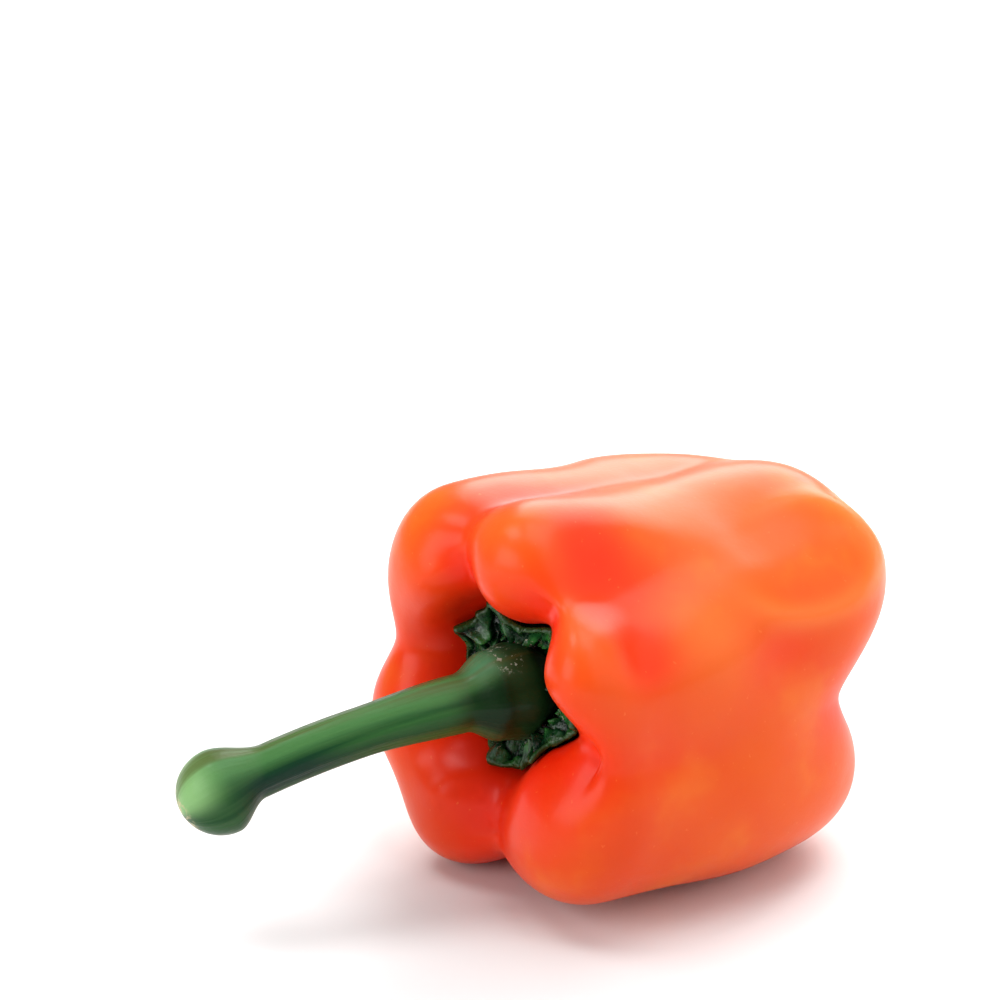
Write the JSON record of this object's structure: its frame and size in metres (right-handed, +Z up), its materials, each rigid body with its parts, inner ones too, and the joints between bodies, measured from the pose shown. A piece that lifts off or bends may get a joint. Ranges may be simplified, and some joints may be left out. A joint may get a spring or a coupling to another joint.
{
  "type": "bell pepper",
  "caption": "Ripe blocky bell pepper lying on its side, with a lobed fruit, a crumpled calyx in the stem hollow and a bent stem that ends in a swollen knob.",
  "frame": {"origin": "under the middle of the whole pepper's box, on the plane that the fruit lies on", "axes": "X runs along the pepper with the stem towards -X and the blossom end towards +X, +Z is up, and -Y is the side that faces the viewer"},
  "size_m": [0.169, 0.094, 0.096],
  "materials": {
    "fruit_skin": "smooth waxy skin, orange-red",
    "calyx": "crumpled dark green, slightly shiny",
    "stem": "ribbed green stalk, satin"
  },
  "bodies": {
    "root": {"fruit": "fruit_skin", "calyx": "calyx", "stem": "stem"}
  },
  "joints": []
}
